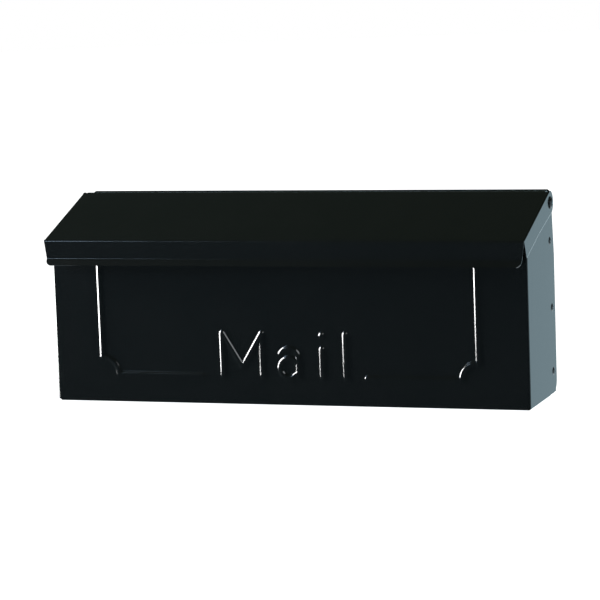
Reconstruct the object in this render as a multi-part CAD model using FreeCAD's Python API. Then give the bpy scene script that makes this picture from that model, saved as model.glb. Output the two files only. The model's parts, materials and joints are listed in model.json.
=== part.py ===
import FreeCAD, Part
import math
import os

# Wall mounted mailbox, in millimetres.
# X runs across the box, -Y is the front, and the wall is the plane Y = 0.
# Sub-parts are drawn with heights counted from the underside of the box. When they are
# saved they drop by mount_height, so the origin is the middle of the wall screw holes.

sheet = 0.7                 # thickness of every steel sheet
bend_radius = 0.8           # inside radius of a folded edge

box_width = 391.5
box_depth = 86.0            # front face to the wall
front_height = 128.0        # top of the front sheet
shell_lift = 1.6            # the shell stops this far above the underside
shell_rear_gap = 0.5        # the shell stops this far from the wall
rear_corner_radius = 10.0
rear_lean_height = 110.0    # above this the sides lean forward from the wall
hem_height = 9.0            # front sheet folded back on itself along its top
hem_end_gap = 4.0           # the hem stops this far from the sides

mount_height = 85.0         # middle of the wall screw holes above the underside
screw_spacing_x = 254.0
screw_spacing_z = 76.2
screw_hole_radius = 2.5

flange_depth = 18.0         # side flanges of the back panel
flange_low = 1.3
flange_step = 108.0         # above this the side flanges stand free of the back sheet
back_top = 161.2
back_top_half = 193.5
back_top_radius = 2.5
flange_corner = 5.0         # rounding of the front corners of the side flanges

floor_flange = 12.0         # upturned edges of the floor
floor_notch_low = 1.0       # the floor is cut away above this for the back panel's flanges

pivot_y = -13.0
pivot_z = 152.0
roll_radius = 9.2           # outside of the rolled rear edge of the lid
roll_end_gap = 3.2          # the roll stops this far from the ends of the lid
roll_end_angle = -50.0      # where the roll ends, counted from straight back
lid_slope = 19.4            # degrees below level
lid_overhang = 12.5         # lip in front of the front face
lid_side_gap = 0.4          # each side, between the lid's ears and the box
side_top_gap = 0.8          # between the sides and the closed lid
lip_bend_radius = 1.6
lip_low = 116.8             # where the lip turns out into the finger flange
lip_taper = 2.6             # the lip narrows by this at each end
flange_out = 4.7            # finger flange, forward of the lip
flange_drop = 5.0
flange_corner_radius = 5.0

ear_front_tip = (-91.2, 117.7)
ear_step = (-47.5, 132.8)
ear_corner_radius = 2.0
ear_step_radius = 30.0
pivot_boss_radius = 7.5

bead_width = 5.4            # raised frame pressed into the front
bead_height = 1.0
bead_x = 155.5
bead_bottom = 22.8
bead_top = 119.0
bead_corner = 13.5
bead_left_end = -70.0       # the frame breaks off for the word
bead_right_end = 66.0
letter_width = 4.8
letter_height = 1.0
letter_base = 23.4
letter_cap = 57.0
letter_middle = 45.0
pressed_share = 0.9         # thickness left in a pressed wall, as a share of the sheet

side_rivets = {"top": (-13.0, 121.9), "middle": (-10.5, 69.2), "bottom": (-10.5, 18.7)}
rivet_shank = 1.6
rivet_head = 3.3
rivet_head_height = 1.0
rivet_tail = 2.4
rivet_tail_length = 3.0
mandrel_radius = 0.95
mandrel_recess = 0.2

hinge_shank = 2.4
hinge_clearance = 0.05      # running fit of the lid on each hinge rivet
hinge_head = 4.5
hinge_head_height = 1.3
hinge_tail = 3.4
hinge_tail_length = 3.0
hinge_mandrel_radius = 1.45
spacer_radius = 4.8
spacer_thickness = 0.25
washer_radius = 4.9
washer_thickness = 0.5
washer_gap = 0.25

half_width = box_width / 2
inner_half = half_width - sheet
lid_inner_half = half_width + lid_side_gap
lid_half = lid_inner_half + sheet
slope = math.radians(lid_slope)
front_y = -box_depth
lip_y = front_y - lid_overhang
tangent_y = pivot_y - roll_radius * math.sin(slope)
tangent_z = pivot_z + roll_radius * math.cos(slope)
vec = FreeCAD.Vector
across = vec(1, 0, 0)
forward = vec(0, -1, 0)


def lid_top(y):
    """Height of the outer face of the lid at a given y."""
    return tangent_z - (tangent_y - y) * math.tan(slope)


def block(x0, x1, y0, y1, z0, z1):
    return Part.makeBox(x1 - x0, y1 - y0, z1 - z0, vec(x0, y0, z0))


def cylinder_x(radius, x0, x1, y, z):
    return Part.makeCylinder(radius, abs(x1 - x0), vec(min(x0, x1), y, z), across)


def mirrored(shape):
    return shape.mirror(vec(0, 0, 0), across)


def save(shape, name):
    """Lower a finished sub-part to the wall mount's frame and write it."""
    solid = shape.removeSplitter()
    if len(solid.Solids) != 1 or not solid.isValid():
        raise RuntimeError(name + " is not one clean solid")
    solid = solid.Solids[0].translated(vec(0, 0, -mount_height))
    solid.exportStep("parts/" + name + ".step")
    print(name, round(solid.Volume), "mm3")


def rounded_wire(points, radii):
    """Open wire through points, with each inner corner rounded by its own radius."""
    edges = []
    start = points[0]
    for corner, after, radius in zip(points[1:-1], points[2:], radii):
        into = (corner - start).normalize()
        out = (after - corner).normalize()
        turn = into.getAngle(out)
        cut = radius * math.tan(turn / 2)
        first = corner - into * cut
        last = corner + out * cut
        bisector = (out - into).normalize()
        centre = corner + bisector * (radius / math.cos(turn / 2))
        middle = centre - bisector * radius
        edges.append(Part.LineSegment(start, first).toShape())
        edges.append(Part.Arc(first, middle, last).toShape())
        start = last
    edges.append(Part.LineSegment(start, points[-1]).toShape())
    return Part.Wire(edges)


def straight_stroke(start, end, width):
    """Outline of a straight ribbon of the front, with round ends."""
    along = (end - start).normalize() * (width / 2)
    aside = along.cross(forward)
    edges = [Part.LineSegment(start + aside, end + aside),
             Part.Arc(end + aside, end + along, end - aside),
             Part.LineSegment(end - aside, start - aside),
             Part.Arc(start - aside, start - along, start + aside)]
    return Part.Wire([edge.toShape() for edge in edges])


def stroke_face(wire, width):
    """Flat ribbon of a given width along an open wire, with round ends."""
    first = wire.Edges[0]
    if len(wire.Edges) == 1 and isinstance(first.Curve, Part.Line):
        ends = [v.Point for v in first.Vertexes]
        return Part.Face(straight_stroke(ends[0], ends[1], width))
    return Part.Face(wire.makeOffset2D(width / 2))


def on_front(x, z):
    return vec(x, front_y, z)


def frame_wires():
    """Centre lines of the raised frame: each side, its scooped corner and its lower stub."""
    wires = []
    for side, end in ((-1, bead_left_end), (1, bead_right_end)):
        corner = bead_bottom + bead_corner
        line_up = Part.LineSegment(on_front(side * bead_x, bead_top), on_front(side * bead_x, corner))
        reach = bead_corner * math.sqrt(0.5)
        scoop = Part.Arc(
            on_front(side * bead_x, corner),
            on_front(side * (bead_x - reach), bead_bottom + reach),
            on_front(side * (bead_x - bead_corner), bead_bottom))
        line_in = Part.LineSegment(
            on_front(side * (bead_x - bead_corner), bead_bottom), on_front(end, bead_bottom))
        wires.append(Part.Wire([line_up.toShape(), scoop.toShape(), line_in.toShape()]))
    return wires


def letter_wires():
    """Plain single-stroke letters that spell the use of the box."""
    base = letter_base
    cap = letter_cap
    middle = letter_middle

    def line(x0, z0, x1, z1):
        return Part.Wire([Part.LineSegment(on_front(x0, z0), on_front(x1, z1)).toShape()])

    def arc(a, b, c):
        return Part.Wire([Part.Arc(on_front(*a), on_front(*b), on_front(*c)).toShape()])

    capital_m = [line(-53, base, -53, cap), line(-53, cap, -36.5, 30),
                 line(-36.5, 30, -20, cap), line(-20, cap, -20, base)]
    small_a = [line(10, base, 10, 38), arc((10, 38), (2.5, middle), (-5, 41)),
               arc((10, 36), (-6, 29.8), (10, base + 1.6))]
    small_i = [line(29.5, base, 29.5, middle), line(29.5, 55.5, 29.5, 56.5)]
    small_l = [line(48.8, base, 48.8, cap)]
    return capital_m + small_a + small_i + small_l


def press(plate, wires, width, height):
    """Push ribbons of the front sheet forward, keeping the sheet's thickness."""
    wall = sheet * pressed_share
    for wire in wires:
        plate = plate.fuse(stroke_face(wire, width).extrude(forward * height))
    for wire in wires:
        hollow = stroke_face(wire, width - 2 * wall).extrude(forward * (height + 2))
        reach = block(-half_width, half_width, front_y - height + sheet, front_y + 2, 0, front_height)
        hollow.translate(vec(0, 2, 0))
        plate = plate.cut(hollow.common(reach))
    return plate


def side_outline():
    """Side of the box as a flat face in the YZ plane: sloped top, round nose about the pivot."""
    top_gap = (side_top_gap + sheet) / math.cos(slope)
    rear = -shell_rear_gap
    bottom = shell_lift
    front_top = vec(0, front_y, lid_top(front_y) - top_gap)
    boss_front = vec(0, pivot_y - pivot_boss_radius * math.sin(slope),
                     pivot_z + pivot_boss_radius * math.cos(slope))
    boss_top = vec(0, pivot_y, pivot_z + pivot_boss_radius)
    boss_rear = vec(0, pivot_y + pivot_boss_radius, pivot_z)
    r = rear_corner_radius
    k = r * (1 - math.sqrt(0.5))
    edges = [
        Part.LineSegment(vec(0, front_y, bottom), front_top),
        Part.LineSegment(front_top, boss_front),
        Part.Arc(boss_front, boss_top, boss_rear),
        Part.LineSegment(boss_rear, vec(0, rear, rear_lean_height)),
        Part.LineSegment(vec(0, rear, rear_lean_height), vec(0, rear, bottom + r)),
        Part.Arc(vec(0, rear, bottom + r), vec(0, rear - k, bottom + k), vec(0, rear - r, bottom)),
        Part.LineSegment(vec(0, rear - r, bottom), vec(0, front_y, bottom)),
    ]
    return Part.Face(Part.Wire([edge.toShape() for edge in edges]))


def side_profile():
    """The side outline as a solid right across the box."""
    profile = side_outline().extrude(across * (box_width + 2))
    profile.translate(vec(-half_width - 1, 0, 0))
    return profile


def upright_edges(shape, x, y):
    """Vertical edges of a shape at one corner of its plan."""
    return [e for e in shape.Edges
            if all(abs(v.X - x) < 1e-6 and abs(v.Y - y) < 1e-6 for v in e.Vertexes)
            and len(e.Vertexes) == 2]


def corner_edges(plate, z):
    """Edges through the thickness of an upright plate, at the height z."""
    return [e for e in plate.Edges
            if all(abs(v.Z - z) < 1e-6 for v in e.Vertexes)
            and abs(e.Vertexes[0].Y - e.Vertexes[-1].Y) > sheet / 2]


def folded_tube(half, y_fold, y_open, z0, z1):
    """U of sheet in plan: one wall at y_fold and two walls running from it to y_open."""
    inward = math.copysign(sheet, y_open - y_fold)
    outer = block(-half, half, min(y_fold, y_open), max(y_fold, y_open), z0, z1)
    edges = upright_edges(outer, -half, y_fold) + upright_edges(outer, half, y_fold)
    outer = outer.makeFillet(bend_radius + sheet, edges)
    y_in = y_fold + inward
    past = y_open + inward
    inner = block(-half + sheet, half - sheet, min(y_in, past), max(y_in, past), z0 - 1, z1 + 1)
    edges = upright_edges(inner, -half + sheet, y_in) + upright_edges(inner, half - sheet, y_in)
    inner = inner.makeFillet(bend_radius, edges)
    return outer.cut(inner)


def drill_sides(shape):
    """Holes for the six side rivets and the two hinge rivets, right across."""
    reach = half_width + 5
    for y, z in side_rivets.values():
        shape = shape.cut(cylinder_x(rivet_shank, -reach, reach, y, z))
    return shape.cut(cylinder_x(hinge_shank, -reach, reach, pivot_y, pivot_z))


def make_front_shell():
    """Front and both sides folded from one sheet, with the pressed frame and word."""
    shell = folded_tube(half_width, front_y, -shell_rear_gap, 0, back_top)
    shell = shell.common(side_profile())
    corner = sheet + bend_radius
    shell = shell.cut(block(-half_width - 1, half_width + 1, front_y - 1, front_y + corner,
                            front_height, back_top))
    hem_half = inner_half - hem_end_gap
    hem = block(-hem_half, hem_half, front_y + sheet, front_y + 2 * sheet,
                front_height - hem_height, front_height)
    shell = shell.fuse(hem)
    shell = press(shell, frame_wires(), bead_width, bead_height)
    shell = press(shell, letter_wires(), letter_width, letter_height)
    return drill_sides(shell)


def make_back_panel():
    """Back sheet with forward side flanges, a flat upper part and four screw holes."""
    panel = folded_tube(inner_half, 0, -flange_depth, flange_low, back_top)
    panel = panel.cut(block(-half_width, half_width, -sheet - bend_radius, 1, flange_step, back_top + 1))
    flange_shape = side_profile()
    flange_shape = flange_shape.fuse(block(-half_width, half_width, -flange_depth, 0, 0, flange_step))
    panel = panel.common(flange_shape)
    upper = block(-back_top_half, back_top_half, -sheet, 0, flange_step - 1, back_top)
    upper = upper.makeFillet(back_top_radius, corner_edges(upper, back_top))
    panel = panel.fuse(upper)
    keep = block(-half_width, half_width, -flange_depth - 1, 1, flange_low, back_top)
    long_edges = [e for e in keep.Edges
                  if all(abs(v.Y + flange_depth + 1) < 1e-6 for v in e.Vertexes)
                  and abs(e.Vertexes[0].Z - e.Vertexes[1].Z) < 1e-6]
    keep = keep.makeFillet(flange_corner, long_edges)
    panel = panel.common(keep)
    for side_x in (-1, 1):
        for side_z in (-1, 1):
            spot = vec(side_x * screw_spacing_x / 2, -sheet - 1,
                       mount_height + side_z * screw_spacing_z / 2)
            panel = panel.cut(Part.makeCylinder(screw_hole_radius, sheet + 2, spot, vec(0, 1, 0)))
    return drill_sides(panel)


def make_floor():
    """Bottom tray: floor sheet with upturned edges, spot-welded inside the shell."""
    y_front = front_y + sheet
    y_rear = -sheet
    outer = block(-inner_half, inner_half, y_front, y_rear, 0, floor_flange)
    low_edges = [e for e in outer.Edges if all(abs(v.Z) < 1e-6 for v in e.Vertexes)]
    front_corners = upright_edges(outer, -inner_half, y_front) + upright_edges(outer, inner_half, y_front)
    outer = outer.makeFillet(bend_radius + sheet, low_edges + front_corners)
    inner = block(-inner_half + sheet, inner_half - sheet, y_front + sheet, y_rear - sheet,
                  sheet, floor_flange * 2)
    low_edges = [e for e in inner.Edges if all(abs(v.Z - sheet) < 1e-6 for v in e.Vertexes)]
    inner = inner.makeFillet(bend_radius, low_edges)
    tray = outer.cut(inner)
    notch_half = inner_half - 2 * sheet - bend_radius
    clear_y = -flange_depth - sheet
    for side in (-1, 1):
        x0, x1 = sorted((side * notch_half, side * (inner_half + 1)))
        tray = tray.cut(block(x0, x1, clear_y, 1, floor_notch_low, floor_flange + 1))
        tray = tray.cut(block(x0, x1, -2 * sheet - bend_radius, 1, -1, floor_flange + 1))
        tray = tray.cut(block(x0, x1, y_front - 1, y_front + sheet + bend_radius,
                              sheet + bend_radius, floor_flange + 1))
    return tray


def lid_path():
    """Middle line of the lid's sheet, from the rear roll to the finger flange."""
    half = sheet / 2
    radius = roll_radius - half
    start_angle = math.radians(roll_end_angle)
    top_angle = math.pi / 2 + slope
    middle_angle = (start_angle + top_angle) / 2
    around = [vec(0, pivot_y + radius * math.cos(a), pivot_z + radius * math.sin(a))
              for a in (start_angle, middle_angle, top_angle)]
    roll = Part.Arc(*around).toShape()
    lip_mid = lip_y + half
    corner = vec(0, lip_mid, lid_top(lip_mid) - half / math.cos(slope))
    lip_end = vec(0, lip_mid, lip_low)
    edge = vec(0, lip_mid - flange_out + half, lip_low - flange_drop)
    rest = rounded_wire([around[2], corner, lip_end, edge], [lip_bend_radius, lip_bend_radius])
    return Part.Wire([roll] + rest.Edges)


def lip_outline():
    """The lip and finger flange seen from the front: tapered ends and rounded lower corners."""
    low = lip_low - flange_drop - 1
    top = back_top + 5
    bottom_half = lid_half - lip_taper
    shoulder = lid_top(lip_y)
    r = flange_corner_radius
    k = r * (1 - math.sqrt(0.5))
    z_edge = lip_low - flange_drop - sheet / 2

    def at(x, z):
        return vec(x, 0, z)

    edges = [Part.LineSegment(at(-lid_half, top), at(lid_half, top)),
             Part.LineSegment(at(lid_half, top), at(lid_half, shoulder)),
             Part.LineSegment(at(lid_half, shoulder), at(bottom_half, z_edge + r)),
             Part.Arc(at(bottom_half, z_edge + r), at(bottom_half - k, z_edge + k),
                      at(bottom_half - r, z_edge)),
             Part.LineSegment(at(bottom_half - r, z_edge), at(bottom_half - r, low)),
             Part.LineSegment(at(bottom_half - r, low), at(-bottom_half + r, low)),
             Part.LineSegment(at(-bottom_half + r, low), at(-bottom_half + r, z_edge)),
             Part.Arc(at(-bottom_half + r, z_edge), at(-bottom_half + k, z_edge + k),
                      at(-bottom_half, z_edge + r)),
             Part.LineSegment(at(-bottom_half, z_edge + r), at(-lid_half, shoulder)),
             Part.LineSegment(at(-lid_half, shoulder), at(-lid_half, top))]
    return Part.Face(Part.Wire([edge.toShape() for edge in edges]))


def ear_face():
    """Side flap of the lid in the YZ plane, round about the pivot at its rear."""
    tip = vec(0, *ear_front_tip)
    step = vec(0, *ear_step)
    pivot = vec(0, pivot_y, pivot_z)
    front = vec(0, lip_y + sheet + 0.1, lid_top(lip_y + sheet + 0.1))
    tangent = vec(0, tangent_y, tangent_z)
    away = step - pivot
    spread = math.acos(roll_radius / away.Length)
    low_angle = math.atan2(away.z, away.y) + spread
    low = pivot + vec(0, math.cos(low_angle), math.sin(low_angle)) * roll_radius
    rear = pivot + vec(0, roll_radius, 0)
    front_edge = rounded_wire([front, tip, step, low], [ear_corner_radius, ear_step_radius])
    round_end = Part.Arc(low, rear, tangent).toShape()
    top_edge = Part.LineSegment(tangent, front).toShape()
    return Part.Face(Part.Wire(front_edge.Edges + [round_end, top_edge]))


def make_lid():
    """Lid: rolled rear edge, sloping top, lip, finger flange and two side ears."""
    strip = Part.Face(lid_path().makeOffset2D(sheet / 2)).extrude(across * (2 * lid_half))
    strip.translate(vec(-lid_half, 0, 0))
    mask = lip_outline().extrude(forward * 200)
    mask.translate(vec(0, 20, 0))
    lid = strip.common(mask)
    for side in (-1, 1):
        x0, x1 = sorted((side * (lid_half - roll_end_gap), side * (lid_half + 1)))
        lid = lid.cut(block(x0, x1, tangent_y, 5, pivot_z - 15, back_top + 5))
    ear = ear_face().extrude(across * sheet)
    ear.translate(vec(lid_inner_half, 0, 0))
    hole = cylinder_x(hinge_shank + hinge_clearance, lid_inner_half - 1, lid_half + 1, pivot_y, pivot_z)
    ear = ear.cut(hole)
    return lid.fuse([ear, mirrored(ear)])


def blind_rivet(y, z, shank, head, head_height, tail, tail_length, pin, seat, grip_in):
    """Rivet on the +X side, from its domed head at seat to its bulb inside the box."""
    body = cylinder_x(shank, grip_in, seat, y, z)
    dome_radius = (head * head + head_height * head_height) / (2 * head_height)
    ball = Part.makeSphere(dome_radius, vec(seat + head_height - dome_radius, y, z))
    dome = ball.common(cylinder_x(head, seat, seat + head_height + 1, y, z))
    bulb = cylinder_x(tail, grip_in - tail_length, grip_in, y, z)
    rim = [e for e in bulb.Edges if len(e.Vertexes) == 1]
    bulb = bulb.makeFillet(tail_length * 0.25, rim)
    rivet = body.fuse([dome, bulb])
    bore = cylinder_x(pin, grip_in - tail_length - 1, seat + head_height + 1, y, z)
    return rivet.cut(bore)


def mandrel(y, z, pin, tail_end, head_top):
    """Broken-off steel pin left inside a blind rivet."""
    return cylinder_x(pin, tail_end, head_top - mandrel_recess, y, z)


def save_pair(shape, name):
    save(shape, name + "_right")
    save(mirrored(shape), name + "_left")


def save_side_rivets():
    grip_in = inner_half - sheet
    for place, (y, z) in side_rivets.items():
        rivet = blind_rivet(y, z, rivet_shank, rivet_head, rivet_head_height,
                            rivet_tail, rivet_tail_length, mandrel_radius, half_width, grip_in)
        pin = mandrel(y, z, mandrel_radius, grip_in - rivet_tail_length,
                      half_width + rivet_head_height)
        save_pair(rivet, "side_rivet_" + place)
        save_pair(pin, "side_rivet_pin_" + place)


def ring_x(radius, hole, x0, x1):
    return cylinder_x(radius, x0, x1, pivot_y, pivot_z).cut(
        cylinder_x(hole, x0 - 1, x1 + 1, pivot_y, pivot_z))


def save_hinge_parts():
    """On each side: spacer, ear of the lid, washer and rivet head, in that order outwards."""
    spacer_out = half_width + spacer_thickness
    washer_in = lid_half + washer_gap
    washer_out = washer_in + washer_thickness
    grip_in = inner_half - sheet
    rivet = blind_rivet(pivot_y, pivot_z, hinge_shank, hinge_head, hinge_head_height,
                        hinge_tail, hinge_tail_length, hinge_mandrel_radius, washer_out, grip_in)
    pin = mandrel(pivot_y, pivot_z, hinge_mandrel_radius, grip_in - hinge_tail_length,
                  washer_out + hinge_head_height)
    save_pair(ring_x(spacer_radius, hinge_shank, half_width, spacer_out), "hinge_spacer")
    save_pair(ring_x(washer_radius, hinge_shank, washer_in, washer_out), "hinge_washer")
    save_pair(rivet, "hinge_rivet")
    save_pair(pin, "hinge_rivet_pin")


os.makedirs("parts", exist_ok=True)
save(make_front_shell(), "front_shell")
save(make_back_panel(), "back_panel")
save(make_floor(), "floor_tray")
save(make_lid(), "lid")
save_side_rivets()
save_hinge_parts()
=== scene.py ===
import json
import math
import bmesh
import bpy
import numpy as np
from mathutils import Matrix, Vector


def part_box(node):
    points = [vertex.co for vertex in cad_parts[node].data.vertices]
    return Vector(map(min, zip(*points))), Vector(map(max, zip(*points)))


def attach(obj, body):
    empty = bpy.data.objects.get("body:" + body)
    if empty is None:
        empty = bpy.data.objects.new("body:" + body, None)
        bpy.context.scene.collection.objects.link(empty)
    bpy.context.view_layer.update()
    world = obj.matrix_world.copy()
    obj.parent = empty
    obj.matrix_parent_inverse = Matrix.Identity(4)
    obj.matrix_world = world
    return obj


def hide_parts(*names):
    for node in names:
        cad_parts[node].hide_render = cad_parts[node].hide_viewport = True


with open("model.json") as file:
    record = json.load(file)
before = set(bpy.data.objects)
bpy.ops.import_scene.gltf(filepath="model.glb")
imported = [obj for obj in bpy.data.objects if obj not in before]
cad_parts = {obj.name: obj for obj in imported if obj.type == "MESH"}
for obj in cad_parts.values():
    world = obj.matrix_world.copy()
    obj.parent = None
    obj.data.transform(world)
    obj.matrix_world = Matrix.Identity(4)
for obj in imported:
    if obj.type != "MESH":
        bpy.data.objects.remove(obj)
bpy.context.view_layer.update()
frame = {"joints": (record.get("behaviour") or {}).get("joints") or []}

# A black sheet-steel letter box that hangs on a wall. Every piece is drawn in millimetres with
# heights counted from the underside of the box, and placePiece brings it into the frame.
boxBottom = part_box("floor_tray")[0].z
pivot = Vector(frame["joints"][0]["pos_m"])
sheet = 0.7
pivotY = pivot.y * 1000
pivotZ = (pivot.z - boxBottom) * 1000
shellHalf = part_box("front_shell")[1].x * 1000
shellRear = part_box("front_shell")[1].y * 1000
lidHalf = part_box("lid")[1].x * 1000
tolerance = 0.01                # how near, in millimetres, a point counts as on a line
mergeGap = 0.0005
print("frame: box bottom", round(boxBottom, 4), "pivot", round(pivotY, 2), round(pivotZ, 2))


cameraSet = {
    "azimuth": 19.065,        # degrees round to the box's right
    "elevation": 7.622,
    "roll": 2.068,
    "distance": 2.2076,
    "target": (-0.0069, -0.0283, -0.0094),
    "lens": 165.31,
}


def makeCamera(s):
    data = bpy.data.cameras.new("camera")
    camera = bpy.data.objects.new("camera", data)
    bpy.context.scene.collection.objects.link(camera)
    data.sensor_width = 36
    data.lens = s["lens"]
    az = math.radians(s["azimuth"])
    el = math.radians(s["elevation"])
    back = Vector((math.sin(az) * math.cos(el), -math.cos(az) * math.cos(el), math.sin(el)))
    camera.location = Vector(s["target"]) + back * s["distance"]
    level = (-back).to_track_quat("-Z", "Y").to_matrix()
    tilt = Matrix.Rotation(math.radians(-s["roll"]), 3, "Z")
    camera.rotation_euler = (level @ tilt).to_euler()
    bpy.context.scene.camera = camera
    print("camera at", [round(v, 3) for v in camera.location])


makeCamera(cameraSet)


class Socket:                       # one output of a node, with maths as operators
    def __init__(self, tree, out):
        self.tree = tree
        self.out = out

    def maths(self, operation, first, second):
        return makeNode(self.tree, "ShaderNodeMath", {"operation": operation}, {0: first, 1: second})

    def __add__(self, other):
        return self.maths("ADD", self, other)

    def __sub__(self, other):
        return self.maths("SUBTRACT", self, other)

    def __mul__(self, other):
        return self.maths("MULTIPLY", self, other)

    def __rsub__(self, other):
        return self.maths("SUBTRACT", other, self)


def makeNode(tree, kind, settings, sockets, output=0):
    node = tree.nodes.new(kind)
    for name, value in settings.items():
        setattr(node, name, value)
    for name, value in sockets.items():
        target = node.inputs[name]
        if isinstance(value, Socket):
            tree.links.new(value.out, target)
        else:
            target.default_value = value
    return Socket(tree, node.outputs[output]) if node.outputs else node


def mixColour(tree, factor, first, second):
    settings = {"data_type": "RGBA"}
    sockets = {0: factor, 6: (*first, 1) if isinstance(first, tuple) else first,
               7: (*second, 1) if isinstance(second, tuple) else second}
    return makeNode(tree, "ShaderNodeMix", settings, sockets, 2)


def smoothStep(tree, value, low, high):
    settings = {"interpolation_type": "SMOOTHSTEP"}
    return makeNode(tree, "ShaderNodeMapRange", settings, {0: value, 1: low, 2: high, 3: 0.0, 4: 1.0})


def axesOf(tree, place):
    first = makeNode(tree, "ShaderNodeSeparateXYZ", {}, {0: place})
    return [Socket(tree, out) for out in first.out.node.outputs]


def noise(tree, place, scale, detail=2.0, roughness=0.5):
    sockets = {"Vector": place, "Scale": scale, "Detail": detail, "Roughness": roughness}
    return makeNode(tree, "ShaderNodeTexNoise", {}, sockets)


def newMaterial(name):
    material = bpy.data.materials.new(name)
    material.use_nodes = True
    tree = material.node_tree
    tree.nodes.clear()
    place = makeNode(tree, "ShaderNodeTexCoord", {}, {}, "Object")
    return material, tree, place


def finishMaterial(tree, sockets):
    surface = makeNode(tree, "ShaderNodeBsdfPrincipled", {}, sockets)
    makeNode(tree, "ShaderNodeOutputMaterial", {}, {"Surface": surface})


glossCoatSet = {
    "deep": (0.0012, 0.0018, 0.0020),
    "worn": (0.0024, 0.0030, 0.0031),
    "smooth": 0.13,
    "rough": 0.18,
    "peelScale": 620.0,         # per metre: the fine orange peel of the powder coat
    "peelDepth": 0.0000035,
    "waveScale": 16.0,          # slow ripple of the thin sheet
    "waveDepth": 0.00004,
    "cloudScale": 24.0,
    "cloudShare": 0.6,          # of the clouds in the colour; fine dust has the rest
    "dustScale": 150.0,
    "ior": 1.5,
}


def paintedEdgeHighlight(tree, place, s):     # painted highlight: lighter colour, strongest along the lower edge of each ear of the lid, in place of the edge's reflection
    across, depth, height = axesOf(tree, place)
    above = []
    for (startY, startZ), (endY, endZ) in zip(s["line"][:-1], s["line"][1:]):
        normal = Vector((startZ - endZ, endY - startY)).normalized()
        foot = (startY * normal.x + startZ * normal.y) * 0.001 + boxBottom * normal.y
        above.append(depth * normal.x + height * normal.y - foot)
    reach = above[0].maths("MAXIMUM", above[0], above[1])
    onEdge = 1.0 - smoothStep(tree, reach, 0.0, s["width"])
    outside = across.maths("ABSOLUTE", across, 0.0)
    low, high = [lidHalf * 0.001 - inset for inset in s["insets"]]
    return onEdge * smoothStep(tree, outside, low, high)


# painted highlight: a light line of colour on the ears' lower edges, standing in for the light the
# rounded sheet edge reflects
edgeHighlightSet = {
    "line": ((-91.2, 117.7), (-47.5, 132.8), (-10.5, 143.1)),
    "width": 0.0011,
    "insets": (0.0008, 0.0003),     # fades in between these depths below the ear's face
    "colour": (0.27, 0.31, 0.33),
}


def glossCoat(s, edgeHighlight=None):
    material, tree, place = newMaterial("glossBlackCoat" if edgeHighlight is None else "highlightedBlackCoat")
    cloud = noise(tree, place, s["cloudScale"], 3.0)
    dust = noise(tree, place, s["dustScale"], 4.0, 0.6)
    mottle = cloud * s["cloudShare"] + dust * (1 - s["cloudShare"])
    colour = mixColour(tree, mottle, s["deep"], s["worn"])
    if edgeHighlight is not None:
        # mix the painted edge highlight into the lid's colour
        colour = mixColour(tree, paintedEdgeHighlight(tree, place, edgeHighlight), colour, edgeHighlight["colour"])
    rough = cloud * 0.5 + dust * 0.5
    rough = rough * (s["rough"] - s["smooth"]) + s["smooth"]
    wave = makeNode(tree, "ShaderNodeBump", {}, {
        "Strength": 1.0, "Distance": s["waveDepth"],
        "Height": noise(tree, place, s["waveScale"], 1.0)})
    peel = makeNode(tree, "ShaderNodeBump", {}, {
        "Strength": 1.0, "Distance": s["peelDepth"], "Normal": wave,
        "Height": noise(tree, place, s["peelScale"], 2.0)})
    finishMaterial(tree, {"Base Color": colour, "Roughness": rough, "Normal": peel, "IOR": s["ior"]})
    return material


satinSet = {
    "scale": 2200.0,
    "detail": 3.0,
    "coarse": 0.6,
    "dark": (0.003, 0.0035, 0.0035),
    "light": (0.008, 0.009, 0.009),
    "strength": 0.4,
    "depth": 0.000006,
    "smooth": 0.13,
    "roughSpan": 0.12,
    "fixed": {"IOR": 1.45},
}

steelSet = {
    "scale": 3500.0,
    "detail": 4.0,
    "coarse": 0.65,
    "dark": (0.42, 0.43, 0.44),
    "light": (0.72, 0.73, 0.74),
    "strength": 0.8,
    "depth": 0.00003,
    "smooth": 0.22,
    "roughSpan": 0.3,
    "fixed": {"Metallic": 1.0},
}

nylonSet = {
    "scale": 1500.0,
    "detail": 3.0,
    "coarse": 0.5,
    "dark": (0.010, 0.010, 0.011),
    "light": (0.022, 0.022, 0.023),
    "strength": 0.5,
    "depth": 0.00001,
    "smooth": 0.5,
    "roughSpan": 0.15,
    "fixed": {},
}


def grainyMaterial(name, s):
    material, tree, place = newMaterial(name)
    grain = noise(tree, place, s["scale"], s["detail"], s["coarse"])
    colour = mixColour(tree, grain, s["dark"], s["light"])
    bump = makeNode(tree, "ShaderNodeBump", {}, {
        "Strength": s["strength"], "Distance": s["depth"], "Height": grain})
    rough = grain * s["roughSpan"] + s["smooth"]
    finishMaterial(tree, {"Base Color": colour, "Roughness": rough, "Normal": bump, **s["fixed"]})
    return material


coatPaint = glossCoat(glossCoatSet)
lidPaint = glossCoat(glossCoatSet, edgeHighlightSet)
satinPaint = grainyMaterial("satinBlack", satinSet)
steelBare = grainyMaterial("bareSteel", steelSet)
nylonBlack = grainyMaterial("blackNylon", nylonSet)
print("materials ready")


def placePiece(bm, name, body, material, nodes):
    toFrame = Matrix.Translation((0, 0, boxBottom)) @ Matrix.Scale(0.001, 4)
    bmesh.ops.transform(bm, matrix=toFrame, verts=bm.verts)
    mesh = bpy.data.meshes.new(name)
    bm.to_mesh(mesh)
    bm.free()
    piece = bpy.data.objects.new(name, mesh)
    bpy.context.scene.collection.objects.link(piece)
    mesh.materials.append(material)
    mesh.shade_smooth()
    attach(piece, body)
    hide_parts(*nodes)
    return piece


def addSheetWall(piece, edgeRound):
    solid = piece.modifiers.new("wall", "SOLIDIFY")
    solid.thickness = sheet * 0.001
    solid.offset = -1
    solid.use_even_offset = True
    solid.use_quality_normals = True
    addRounding(piece, edgeRound)


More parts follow.
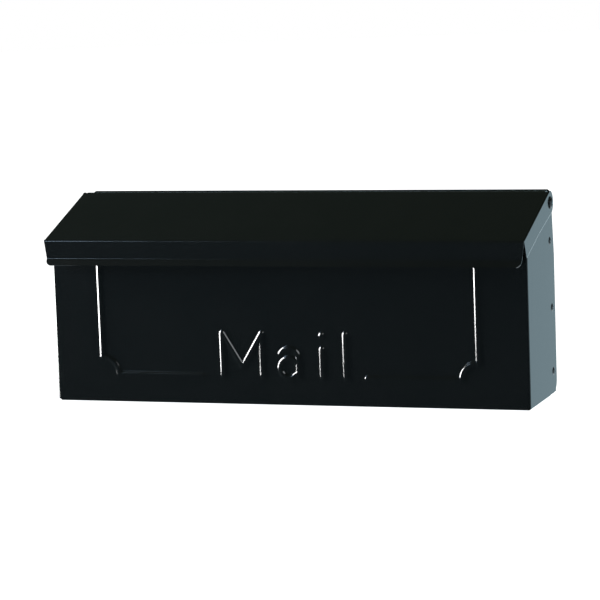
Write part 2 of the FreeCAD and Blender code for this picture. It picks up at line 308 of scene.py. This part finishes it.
def addRounding(piece, edgeRound):
    rounding = piece.modifiers.new("rounding", "BEVEL")
    rounding.width = edgeRound * 0.001
    rounding.segments = 2
    rounding.limit_method = "ANGLE"
    rounding.angle_limit = math.radians(50)
    rounding.harden_normals = False
    weighted = piece.modifiers.new("weighted", "WEIGHTED_NORMAL")
    weighted.mode = "FACE_AREA"
    weighted.weight = 80
    weighted.keep_sharp = True


def faceOutward(bm, outward):       # turn every face the way the furthest one should look
    bmesh.ops.recalc_face_normals(bm, faces=bm.faces)
    bm.normal_update()
    way = Vector(outward)
    furthest = max(bm.faces, key=lambda face: face.calc_center_median().dot(way))
    if furthest.normal.dot(way) < 0:
        bmesh.ops.reverse_faces(bm, faces=bm.faces)


def newVerts(result):
    return [g for g in result["geom"] if isinstance(g, bmesh.types.BMVert)]


def newEdges(result):
    return [g for g in result["geom"] if isinstance(g, bmesh.types.BMEdge)]


def foldEdges(bm, edges, centre, axis, angle, steps):
    verts = list({v for e in edges for v in e.verts})
    turned = bmesh.ops.spin(bm, geom=verts + list(edges), cent=centre, axis=axis, dvec=(0, 0, 0),
                            angle=angle, steps=steps, use_duplicate=False)
    return [g for g in turned["geom_last"] if isinstance(g, bmesh.types.BMEdge)]


def pullEdges(bm, edges, vector):
    pulled = bmesh.ops.extrude_edge_only(bm, edges=edges)
    bmesh.ops.translate(bm, verts=newVerts(pulled), vec=vector)
    return newEdges(pulled)


def arcPoints(centre, radius, start, end, steps):
    angles = [math.radians(start + (end - start) * i / steps) for i in range(steps + 1)]
    return [(centre[0] + radius * math.cos(a), centre[1] + radius * math.sin(a)) for a in angles]


def edgeBetween(first, second):
    return next(e for e in first.link_edges if e.other_vert(first) is second)


def mergeAndFace(bm, outward):
    bmesh.ops.remove_doubles(bm, verts=bm.verts, dist=mergeGap)
    faceOutward(bm, outward)


def outlineFace(bm, known, points):
    made = [bm.verts.new(p) for p in points]
    return bm.faces.new(known + made)


slope = math.radians(19.4)
rollRadius = 9.2
tangentY = pivotY - rollRadius * math.sin(slope)
tangentZ = pivotZ + rollRadius * math.cos(slope)


def lidTop(y):                      # height of the lid's outer face
    return tangentZ - (tangentY - y) * math.tan(slope)


def spaced(zones):                  # positions over neighbouring zones, each with its own step
    marks = [np.array([zones[0][0]])]
    for low, high, step in zones:
        count = max(1, round((high - low) / step))
        marks.append(np.linspace(low, high, count + 1)[1:])
    return np.concatenate(marks)


def distanceToPath(places, path):   # shortest distance of each place to a run of straight pieces
    best = np.full(len(places), 1e9)
    for a, b in zip(path[:-1], path[1:]):
        along = b - a
        share = np.clip(((places - a) @ along) / (along @ along), 0, 1)
        gap = np.linalg.norm(places - a - share[:, None] * along, axis=1)
        best = np.minimum(best, gap)
    return best


beadSet = {
    "width": 5.4,
    "flank": 2.0,
    "height": 1.0,
    "x": 155.5,
    "bottom": 22.8,
    "top": 119.0,
    "corner": 13.5,
    "leftEnd": -70.0,           # the frame breaks off for the word
    "rightEnd": 66.0,
}

letterSet = {
    "width": 4.8,
    "flank": 1.2,
    "height": 1.0,
    "base": 23.4,
    "cap": 57.0,
    "middle": 45.0,
}


def beadPaths(s):
    paths = []
    for side, end in ((-1, s["leftEnd"]), (1, s["rightEnd"])):
        scoop = arcPoints((s["x"], s["bottom"]), s["corner"], 90, 180, 16)
        points = [(s["x"], s["top"])] + scoop
        path = [(side * x, z) for x, z in points] + [(end, s["bottom"])]
        paths.append(np.array(path))
    return paths


def letterPaths(s):                 # plain single strokes of our own
    base, cap, middle = s["base"], s["cap"], s["middle"]
    bowlTop = arcPoints((2.2, 37.4), 7.8, 0, 150, 14)
    bowl = arcPoints((2.4, 29.8), 7.6, 45, 315, 22)
    capitalM = [(-53, base), (-53, cap), (-36.5, 30), (-20, cap), (-20, base)]
    smallA = [(10, base)] + bowlTop
    smallABowl = [(10, 36)] + bowl + [(10, base + 2)]
    smallI = [(29.5, base), (29.5, middle)]
    dotI = [(29.5, 55.6), (29.5, 56.4)]
    smallL = [(48.8, base), (48.8, cap)]
    return [np.array(p) for p in (capitalM, smallA, smallABowl, smallI, dotI, smallL)]


def pressedHeight(places):
    height = np.zeros(len(places))
    for s, paths in ((beadSet, beadPaths(beadSet)), (letterSet, letterPaths(letterSet))):
        for path in paths:
            rise = np.clip((s["width"] / 2 - distanceToPath(places, path)) / s["flank"], 0, 1)
            height = np.maximum(height, s["height"] * rise * rise * (3 - 2 * rise))
    return height


shellSet = {
    "frontY": -86.0,
    "lift": 1.6,
    "foldRadius": 1.5,
    "hemRadius": 0.85,
    "hemDepth": 8.0,
    "hemEnd": 4.7,
    "top": 128.0,
    "sideGap": 1.5,             # lid's outer face to the side's top edge
    "noseRadius": 7.5,
    "rearCorner": 10.0,
    "leanHeight": 110.0,        # above this the sides lean forward from the wall
    "edgeRound": 0.16,
    # from, to and step of the front's mesh, finer where the frame and the word are pressed
    "columns": [(-160, -137, 0.6), (-137, -74, 12), (-74, -60, 0.7), (-60, 57, 0.55),
                (57, 70, 0.7), (70, 137, 12), (137, 160, 0.6)],
    "rows": [(19, 62, 0.55), (62, 114, 9), (114, 123, 0.7)],
}


def sideOutline(s, frontY):         # from the top of the front fold round to its foot
    gap = s["sideGap"] / math.cos(slope)
    nose = arcPoints((pivotY, pivotZ), s["noseRadius"], 90 + math.degrees(slope), 0, 16)
    radius = s["rearCorner"]
    corner = arcPoints((shellRear - radius, s["lift"] + radius), radius, 0, -90, 10)
    return [(frontY, lidTop(frontY) - gap)] + nose + [(shellRear, s["leanHeight"])] + corner


def frontShell(s):
    bm = bmesh.new()
    flatHalf = shellHalf - s["foldRadius"]
    hemHalf = shellHalf - s["hemEnd"]
    hemStart = s["top"] - s["hemRadius"]
    middle = s["columns"]
    columns = spaced([(-flatHalf, -hemHalf, 1.6), (-hemHalf, middle[0][0], 8), *middle,
                      (middle[-1][1], hemHalf, 8), (hemHalf, flatHalf, 1.6)])
    middle = s["rows"]
    rows = spaced([(s["lift"], middle[0][0], 6), *middle, (middle[-1][1], hemStart, 2)])
    bmesh.ops.create_grid(bm, x_segments=len(columns) - 1, y_segments=len(rows) - 1, size=1)
    places = np.array([(v.co.x, v.co.y) for v in bm.verts])
    across = columns[np.rint((places[:, 0] + 1) / 2 * (len(columns) - 1)).astype(int)]
    upward = rows[np.rint((places[:, 1] + 1) / 2 * (len(rows) - 1)).astype(int)]
    height = pressedHeight(np.stack([across, upward], axis=1))
    for v, x, z, h in zip(bm.verts, across, upward, height):
        v.co = (x, s["frontY"] - h, z)
    edge = [e for e in bm.edges if e.is_boundary]
    hemTop = [e for e in edge if all(v.co.z > hemStart - tolerance and abs(v.co.x) < hemHalf + tolerance
                                     for v in e.verts)]
    folds = {side: [e for e in edge if all(v.co.x * side > flatHalf - tolerance for v in e.verts)]
             for side in (-1, 1)}
    hemmed = foldEdges(bm, hemTop, (0, s["frontY"] + s["hemRadius"], hemStart), (1, 0, 0), -math.pi, 8)
    pullEdges(bm, hemmed, (0, 0, -s["hemDepth"]))
    foldY = s["frontY"] + s["foldRadius"]
    for side in (-1, 1):
        centre = (side * flatHalf, foldY, 0)
        folded = foldEdges(bm, folds[side], centre, (0, 0, side), math.pi / 2, 8)
        known = sorted({v for e in folded for v in e.verts}, key=lambda v: v.co.z)
        outlineFace(bm, known, [(side * shellHalf, y, z) for y, z in sideOutline(s, foldY)])
    mergeAndFace(bm, (1, 0, 0))
    piece = placePiece(bm, "frontShell", "box", coatPaint, ["front_shell"])
    addSheetWall(piece, s["edgeRound"])
    print("front shell", len(columns), "by", len(rows))


lidSet = {
    "rollBack": 50.0,           # degrees of roll below straight back
    "rollGap": 3.2,             # the roll stops this far from the ends
    "earStart": 0.8,            # the ear begins this far behind the lip's face
    "lipInset": 6.0,            # inner columns of the lip, to keep its rounded corners clear
    "sideFold": 0.95,
    "frontFold": 1.95,
    "lipY": -98.5,
    "lipLow": 116.8,
    "lipFold": 1.25,
    "flangeOut": 4.7,
    "flangeDrop": 5.0,
    "flangeLength": 5.9,
    "flangeCorner": 4.2,
    "taper": 2.6,
    "earTip": (-91.2, 117.7),
    "earStep": (-47.5, 132.8),
    "tipRound": 2.0,
    "stepRound": 30.0,
    "earTopAngle": 86.0,        # end of the round rear of the ear, before the lid's slope is added
    "edgeRound": 0.3,
}


def roundedCorner(before, corner, after, radius, steps):
    before, corner, after = Vector(before), Vector(corner), Vector(after)
    into = (corner - before).normalized()
    out = (after - corner).normalized()
    turn = into.angle(out)
    middle = corner + (out - into).normalized() * (radius / math.cos(turn / 2))
    start = corner - into * (radius * math.tan(turn / 2)) - middle
    end = corner + out * (radius * math.tan(turn / 2)) - middle
    points = [middle + start.lerp(end, i / steps).normalized() * radius for i in range(steps + 1)]
    return [(p.x, p.y) for p in points]


def earOutline(s):                  # from the front of the side fold round to its rear
    tip, step = Vector(s["earTip"]), Vector(s["earStep"])
    frontY = s["lipY"] + s["earStart"]
    front = Vector((frontY, lidTop(frontY) - s["sideFold"] / math.cos(slope)))
    away = step - Vector((pivotY, pivotZ))
    lowAngle = math.degrees(math.atan2(away.y, away.x) + math.acos(rollRadius / away.length))
    low = arcPoints((pivotY, pivotZ), rollRadius, lowAngle, lowAngle, 1)[0]
    tipCorner = roundedCorner(front, tip, step, s["tipRound"], 6)
    stepCorner = roundedCorner(tip, step, low, s["stepRound"], 4)
    topAngle = s["earTopAngle"] + math.degrees(slope)
    rearEnd = arcPoints((pivotY, pivotZ), rollRadius, lowAngle, topAngle, 28)
    return [(front.x, front.y)] + tipCorner + stepCorner + rearEnd


def lidSheet(s):
    bm = bmesh.new()
    foldX = lidHalf - s["sideFold"]
    rollX = lidHalf - s["rollGap"]
    row = [bm.verts.new((x, tangentY, tangentZ)) for x in (-foldX, -rollX, rollX, foldX)]
    edges = [bm.edges.new(pair) for pair in zip(row[:-1], row[1:])]
    rollTurn = math.pi / 2 + slope + math.radians(s["rollBack"])
    foldEdges(bm, [edges[1]], (0, pivotY, pivotZ), (1, 0, 0), -rollTurn, 26)
    bendTurn = math.pi / 2 - slope
    cornerY, cornerZ = s["lipY"], lidTop(s["lipY"])
    cut = s["frontFold"] * math.tan(bendTurn / 2)
    along = Vector((0, -math.cos(slope), -math.sin(slope)))
    down = Vector((0, math.sin(slope), -math.cos(slope)))
    topRun = Vector((0, cornerY - tangentY, cornerZ - tangentZ)).length - cut
    sideEnds = [(row[0], -1), (row[3], 1)]
    topEnd = pullEdges(bm, edges, along * topRun)
    bendStart = Vector((0, tangentY, tangentZ)) + along * topRun
    bent = foldEdges(bm, topEnd, bendStart + down * s["frontFold"], (1, 0, 0), bendTurn, 10)
    flangeTurn = math.atan2(s["flangeOut"] - sheet / 2, s["flangeDrop"])
    lipCut = (s["lipFold"] + sheet / 2) * math.tan(flangeTurn / 2)
    lipRun = cornerZ - cut - s["lipLow"] - lipCut
    lipped = pullEdges(bm, bent, (0, 0, -lipRun))
    lipFoot = Vector((0, cornerY, s["lipLow"] + lipCut))
    turned = foldEdges(bm, lipped, lipFoot - Vector((0, s["lipFold"], 0)), (1, 0, 0), -flangeTurn, 8)
    outwards = Vector((0, -math.sin(flangeTurn), -math.cos(flangeTurn)))
    rim = pullEdges(bm, turned, outwards * s["flangeLength"])
    rimZ = min(v.co.z for e in rim for v in e.verts)
    for v in bm.verts:              # the lip narrows towards its foot
        if v.co.y < bendStart.y - tolerance:
            share = min(1, max(0, (cornerZ - v.co.z) / (cornerZ - rimZ)))
            atEnd = abs(v.co.x) > foldX - tolerance
            half = lidHalf - share * s["taper"] if atEnd else rollX - s["lipInset"]
            v.co.x = math.copysign(half, v.co.x)
    corners = [v for e in rim for v in e.verts if len(v.link_edges) == 2]
    bmesh.ops.bevel(bm, geom=list(set(corners)), offset=s["flangeCorner"], offset_type="OFFSET",
                    segments=8, profile=0.5, material=-1, affect="VERTICES")
    for start, side in sideEnds:
        flank = next(e for e in start.link_edges
                     if abs(e.other_vert(start).co.x - start.co.x) < tolerance
                     and e.calc_length() > topRun / 2)
        centre = Vector((side * foldX, tangentY, tangentZ)) + down * s["sideFold"]
        folded = foldEdges(bm, [flank], centre, along, -side * math.pi / 2, 6)
        known = sorted({v for e in folded for v in e.verts}, key=lambda v: -v.co.y)
        outlineFace(bm, known, [(side * lidHalf, y, z) for y, z in earOutline(s)])
    mergeAndFace(bm, (0, 0, 1))
    piece = placePiece(bm, "lidSheet", "lid", lidPaint, ["lid"])
    addSheetWall(piece, s["edgeRound"])
    print("lid", len(piece.data.polygons))


frontShell(shellSet)
lidSheet(lidSet)


backSet = {
    "flangeDepth": 18.0,
    "low": 1.3,
    "step": 108.0,              # above this the flanges stand free of the back sheet
    "leanFrom": 118.4,          # where the free rear edge of a flange starts to lean forward
    "upperHalf": 193.5,
    "upperCorner": 2.5,
    "top": 161.2,
    "screwX": 127.0,
    "screwZ": (46.9, 123.1),
    "screwHole": 2.5,
    "foldRadius": 1.5,
    "flangeCorner": 5.0,
    "edgeRound": 0.16,
}


def closedLoop(bm, points, y):
    ring = [bm.verts.new((x, y, z)) for x, z in points]
    return ring, [bm.edges.new(pair) for pair in zip(ring, ring[1:] + ring[:1])]


def boardFace(bm, outline, holes, y):       # flat upright face at y with round holes in it
    ring, edges = closedLoop(bm, outline, y)
    for x, z, radius in holes:
        edges += closedLoop(bm, arcPoints((x, z), radius, 0, 360, 32)[:-1], y)[1]
    bmesh.ops.triangle_fill(bm, use_beauty=True, use_dissolve=False, edges=edges, normal=(0, 1, 0))
    return ring


def backSheet(s):
    bm = bmesh.new()
    half = shellHalf - sheet
    flat = half - s["foldRadius"]
    corner = s["upperCorner"]
    upper = arcPoints((s["upperHalf"] - corner, s["top"] - corner), corner, 0, 90, 10)
    lower = [(flat, s["low"]), (flat, s["step"]), (s["upperHalf"], s["step"])]
    right = lower + upper
    left = [(-x, z) for x, z in reversed(right)]
    holes = [(side * s["screwX"], z, s["screwHole"]) for side in (-1, 1) for z in s["screwZ"]]
    ring = boardFace(bm, right + left, holes, 0)
    for side, pair in ((1, (ring[0], ring[1])), (-1, (ring[-1], ring[-2]))):
        centre = (side * flat, -s["foldRadius"], 0)
        folded = foldEdges(bm, [edgeBetween(*pair)], centre, (0, 0, -side), math.pi / 2, 8)
        known = sorted({v for e in folded for v in e.verts}, key=lambda v: v.co.z)
        corner, depth = s["flangeCorner"], -s["flangeDepth"]
        foot = arcPoints((depth + corner, s["low"] + corner), corner, 180, 270, 8)
        peak = lidTop(depth) - shellSet["sideGap"] / math.cos(slope)
        top = 90 + math.degrees(slope)
        nose = [(depth, peak)] + arcPoints((pivotY, pivotZ), shellSet["noseRadius"], top, 0, 14)
        rise = [(-s["foldRadius"], s["leanFrom"])]
        points = [(side * half, y, z) for y, z in rise + nose[::-1] + foot]
        outlineFace(bm, known, points)
    mergeAndFace(bm, (0, 1, 0))
    piece = placePiece(bm, "backSheet", "box", coatPaint, ["back_panel"])
    addSheetWall(piece, s["edgeRound"])
    print("back sheet", len(piece.data.polygons))


traySet = {
    "frontY": -85.3,
    "rearY": -0.7,
    "flange": 12.0,
    "foldRadius": 1.5,
    "flangeDepth": 18.0,        # length at the rear corners left free for the back sheet
    "edgeRound": 0.16,
}


def floorTray(s):
    bm = bmesh.new()
    half = shellHalf - sheet
    r = s["foldRadius"]
    x = half - r
    front, rear = s["frontY"] + r, s["rearY"] - r
    step = s["rearY"] - s["flangeDepth"]
    right = [(x, front), (x, step), (x, rear)]
    outline = right + [(-px, py) for px, py in reversed(right)]
    ring = [bm.verts.new((px, py, 0)) for px, py in outline]
    bm.faces.new(ring)
    runs = [(edgeBetween(ring[0], ring[1]), (x, 0, r), (0, -1, 0)),
            (edgeBetween(ring[5], ring[4]), (-x, 0, r), (0, 1, 0)),
            (edgeBetween(ring[0], ring[5]), (0, front, r), (-1, 0, 0)),
            (edgeBetween(ring[2], ring[3]), (0, rear, r), (1, 0, 0))]
    for edge, centre, axis in runs:
        folded = foldEdges(bm, [edge], centre, axis, math.pi / 2, 8)
        pullEdges(bm, folded, (0, 0, s["flange"] - r))
    mergeAndFace(bm, (0, 0, -1))
    piece = placePiece(bm, "floorTray", "box", coatPaint, ["floor_tray"])
    addSheetWall(piece, s["edgeRound"])
    print("floor tray", len(piece.data.polygons))


backSheet(backSet)
floorTray(traySet)


sideRivetSet = {
    "places": {"top": (-13.0, 121.9), "middle": (-10.5, 69.2), "bottom": (-10.5, 18.7)},
    "shank": 1.6,
    "head": 3.3,
    "headHeight": 1.0,
    "tail": 2.4,
    "tailLength": 3.0,
    "pin": 0.95,
    "recess": 0.2,
}

hingeRivetSet = {
    "shank": 2.4,
    "head": 4.5,
    "headHeight": 1.3,
    "tail": 3.4,
    "tailLength": 3.0,
    "pin": 1.45,
    "recess": 0.2,
    "spacer": 4.8,
    "spacerThickness": 0.25,
    "washer": 4.9,
    "washerThickness": 0.5,
    "washerGap": 0.25,
}


turnedEdgeRound = 0.08


def turnedPiece(profile, y, z, side, name, material, node, closed):
    bm = bmesh.new()                # profile of (x, radius) pairs turned about a line along X
    ring = [bm.verts.new((x, y, z + radius)) for x, radius in profile]
    pairs = list(zip(ring[:-1], ring[1:])) + ([(ring[-1], ring[0])] if closed else [])
    edges = [bm.edges.new(pair) for pair in pairs]
    bmesh.ops.spin(bm, geom=ring + edges, cent=(0, y, z), axis=(1, 0, 0), dvec=(0, 0, 0),
                   angle=2 * math.pi, steps=64, use_duplicate=False, use_merge=True)
    bmesh.ops.remove_doubles(bm, verts=bm.verts, dist=mergeGap)
    if side < 0:
        bmesh.ops.scale(bm, vec=(-1, 1, 1), verts=bm.verts)
    bmesh.ops.recalc_face_normals(bm, faces=bm.faces)
    addRounding(placePiece(bm, name, "box", material, [node]), turnedEdgeRound)


def domeProfile(seat, s, gripIn):   # blind rivet from its bulb to its dome, with a bore
    head, height, bore = s["head"], s["headHeight"], s["pin"]
    ball = (head * head + height * height) / (2 * height)
    centre = seat + height - ball
    rim = math.asin(head / ball)
    hole = math.asin(bore / ball)
    count = 14
    angles = [rim + (hole - rim) * i / count for i in range(count + 1)]
    dome = [(centre + ball * math.cos(a), ball * math.sin(a)) for a in angles]
    rimHeight, bulbRound, bulbCut = 0.04, 0.7, 0.25
    dome[0] = (dome[0][0] + rimHeight, head)
    tailEnd = gripIn - s["tailLength"]
    tail = s["tail"]
    bulb = [(tailEnd, bore), (tailEnd, tail - bulbRound), (tailEnd + bulbCut, tail - bulbCut),
            (tailEnd + bulbRound, tail)]
    return bulb + [(gripIn, tail), (gripIn, s["shank"]), (seat, s["shank"]), (seat, head)] + dome


def rivetAndPin(names, y, z, seat, s, gripIn):
    pinFoot = gripIn - s["tailLength"]
    pinTop = seat + s["headHeight"] - s["recess"]
    pin = s["pin"]
    chamfer, dip, hollow = 0.12, 0.02, 0.05         # the snapped end is slightly dished
    crown = [(pinTop, pin - chamfer), (pinTop - dip, pin * 0.6), (pinTop - hollow, pin * 0.25),
             (pinTop - hollow, 0)]
    stub = [(pinFoot, 0), (pinFoot, pin), (pinTop - chamfer, pin)] + crown
    for side, hand in ((1, "_right"), (-1, "_left")):
        turnedPiece(domeProfile(seat, s, gripIn), y, z, side, names[0] + hand,
                    satinPaint, names[1] + hand, True)
        turnedPiece(stub, y, z, side, names[2] + hand, steelBare,
                    names[3] + hand, False)


def allRivets():
    gripIn = shellHalf - 2 * sheet
    for place, (y, z) in sideRivetSet["places"].items():
        names = ("sideRivet_" + place, "side_rivet_" + place,
                 "sideRivetPin_" + place, "side_rivet_pin_" + place)
        rivetAndPin(names, y, z, shellHalf, sideRivetSet, gripIn)
    s = hingeRivetSet
    washerIn = lidHalf + s["washerGap"]
    washerOut = washerIn + s["washerThickness"]
    names = ("hingeRivet", "hinge_rivet", "hingeRivetPin", "hinge_rivet_pin")
    rivetAndPin(names, pivotY, pivotZ, washerOut, s, gripIn)
    spacerOut = shellHalf + s["spacerThickness"]
    rings = [("hingeSpacer", "hinge_spacer", "nylon_spacer", nylonBlack,
              s["spacer"], shellHalf, spacerOut),
             ("hingeWasher", "hinge_washer", "black_washer", satinPaint,
              s["washer"], washerIn, washerOut)]
    for name, node, slotName, paint, radius, low, high in rings:
        profile = [(low, s["shank"]), (low, radius), (high, radius), (high, s["shank"])]
        for side, hand in ((1, "_right"), (-1, "_left")):
            turnedPiece(profile, pivotY, pivotZ, side, name + hand, paint, node + hand, True)
    print("rivets, pins, washers and spacers placed")


allRivets()


stageSet = {
    "floorDrop": 1.3,
    "floorRadius": 40.0,
    "behind": (0.56, 0.775, 0.87),
    "behindLow": (2.6, 3.0, 3.2),
    "front": (0.055, 0.082, 0.098),
    "above": (0.032, 0.041, 0.026),
    "floorGlow": 1.25,
    "rightShare": 0.45,         # the bright part reaches further round on the right
    "backRange": (-0.05, 0.45),
    "topRange": (0.03, 0.16),
    "floorRange": (0.34, 0.5),
}


def makeStage(s):
    bm = bmesh.new()
    bmesh.ops.create_circle(bm, cap_ends=True, radius=s["floorRadius"], segments=96)
    bmesh.ops.translate(bm, verts=bm.verts, vec=(0, 0, boxBottom - s["floorDrop"]))
    mesh = bpy.data.meshes.new("floor")
    bm.to_mesh(mesh)
    bm.free()
    floor = bpy.data.objects.new("floor", mesh)
    bpy.context.scene.collection.objects.link(floor)
    material, tree, place = newMaterial("paleFloor")
    finishMaterial(tree, {"Base Color": (0.9, 0.9, 0.9, 1), "Roughness": 0.9,
                          "Emission Color": (1, 1, 1, 1), "Emission Strength": s["floorGlow"]})
    mesh.materials.append(material)
    floor.visible_glossy = False


def makeWorld(s):
    world = bpy.data.worlds.new("studio")
    bpy.context.scene.world = world
    world.use_nodes = True
    tree = world.node_tree
    tree.nodes.clear()
    place = makeNode(tree, "ShaderNodeTexCoord", {}, {}, "Generated")
    rightward, depth, height = axesOf(tree, place)
    toBack = smoothStep(tree, depth + rightward * s["rightShare"], *s["backRange"])
    toTop = smoothStep(tree, height, *s["topRange"])
    toFloor = smoothStep(tree, 0.0 - height, *s["floorRange"])
    colour = mixColour(tree, toFloor, s["behind"], s["behindLow"])
    colour = mixColour(tree, toBack, s["front"], colour)
    colour = mixColour(tree, toTop, colour, s["above"])
    seen = makeNode(tree, "ShaderNodeLightPath", {}, {}, "Is Camera Ray")
    colour = mixColour(tree, seen, colour, (1.0, 1.0, 1.0))
    sky = makeNode(tree, "ShaderNodeBackground", {}, {"Color": colour, "Strength": 1.0})
    makeNode(tree, "ShaderNodeOutputWorld", {}, {"Surface": sky})


lightSets = {
    "leftSoftbox": {
        "place": (-1.9, -0.35, 0.71),
        "aim": (0, 0, 0.71),
        "size": (0.9, 2.08),
        "power": 340,
        "colour": (1.0, 1.0, 1.0),
        "spread": 180,
    },
    "rightFrontBox": {
        "place": (1.6, -1.9, 1.3),
        "aim": (0, 0, 0),
        "size": (1.2, 1.2),
        "power": 20,
        "colour": (0.9, 0.96, 1.0),
        "spread": 180,
    },
    "leftFoldLight": {              # narrow beam along the folds at the lid's left end
        "place": (-0.74, -0.86, 0.52),
        "aim": (-0.2, -0.09, 0.17),
        "size": (0.4, 0.3),
        "power": 0.25,
        "colour": (0.55, 0.76, 1.0),
        "spread": 22,
    },
}


def areaLight(name, s):
    data = bpy.data.lights.new(name, "AREA")
    data.shape = "RECTANGLE"
    data.spread = math.radians(s["spread"])
    data.size, data.size_y = s["size"]
    data.energy = s["power"]
    data.color = s["colour"]
    light = bpy.data.objects.new(name, data)
    light.location = s["place"]
    way = Vector(s["aim"]) - Vector(s["place"])
    light.rotation_euler = way.to_track_quat("-Z", "Y").to_euler()
    bpy.context.scene.collection.objects.link(light)


makeStage(stageSet)
makeWorld(stageSet)
for lightName, lightSet in lightSets.items():
    areaLight(lightName, lightSet)
print("stage, world and lights ready")

scene = bpy.context.scene
scene.view_settings.view_transform = "Standard"
scene.view_settings.look = "None"
